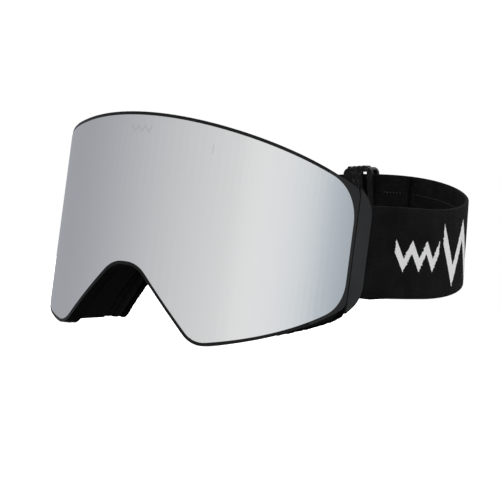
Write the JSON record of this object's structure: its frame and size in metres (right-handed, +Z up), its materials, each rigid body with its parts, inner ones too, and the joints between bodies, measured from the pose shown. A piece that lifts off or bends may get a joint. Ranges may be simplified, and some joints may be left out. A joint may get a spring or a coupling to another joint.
{
  "type": "ski goggles",
  "caption": "Ski goggles with a wrapped mirror lens held by magnets, a foam-lined face frame, pivoting outriggers and an elastic head strap with a slider.",
  "frame": {"origin": "midway between the temples at half the lens height, where the face foam touches the temples", "axes": "+X to the wearer's left, +Y back towards the face and head, +Z up"},
  "size_m": [0.1826, 0.2021, 0.1006],
  "materials": {
    "mirror_lens": "silver mirror coating on a polycarbonate lens",
    "clear_lens": "clear cellulose inner lens",
    "gasket": "closed-cell gasket",
    "rim_plastic": "satin black",
    "magnet": "nickel plated",
    "frame_tpu": "soft matt TPU",
    "foam": "open-cell foam",
    "fleece": "brushed fleece",
    "vent_foam": "coarse filter foam",
    "outrigger_plastic": "satin dark grey",
    "pin_steel": "ground steel",
    "webbing": "woven elastic",
    "slider_plastic": "satin black"
  },
  "bodies": {
    "goggle_frame": {"face_frame": "frame_tpu", "frame_magnets": "magnet", "foam_base": "foam", "foam_mid": "foam", "foam_fleece": "fleece", "vent_foam_top": "vent_foam", "vent_foam_cheeks": "vent_foam", "strap_left": "webbing", "strap_right": "webbing", "strap_tail": "webbing"},
    "lens_assembly": {"outer_lens": "mirror_lens", "inner_lens": "clear_lens", "lens_spacer_gasket": "gasket", "lens_carrier": "rim_plastic", "lens_magnets": "magnet"},
    "left_outrigger": {"outrigger_left": "outrigger_plastic", "outrigger_pin_left": "pin_steel", "strap_end_left": "webbing"},
    "right_outrigger": {"outrigger_right": "outrigger_plastic", "outrigger_pin_right": "pin_steel", "strap_end_right": "webbing"},
    "slider": {"strap_slider": "slider_plastic"}
  },
  "joints": [
    {"name": "lens_pull", "type": "slide", "parent": "goggle_frame", "child": "lens_assembly", "axis": [0, -1, 0], "range_m": [0, 0.04]},
    {"name": "left_outrigger_pivot", "type": "hinge", "parent": "goggle_frame", "child": "left_outrigger", "pos_m": [0.083, -0.0145, 0], "axis": [0, 0, -1], "range_deg": [-4, 8]},
    {"name": "right_outrigger_pivot", "type": "hinge", "parent": "goggle_frame", "child": "right_outrigger", "pos_m": [-0.083, -0.0145, 0], "axis": [0, 0, 1], "range_deg": [-4, 8]},
    {"name": "slider_slide", "type": "hinge", "parent": "goggle_frame", "child": "slider", "pos_m": [0, 0.03871, 0.00554], "axis": [0, -0.1045, 0.9945], "range_deg": [-3, 3]}
  ]
}
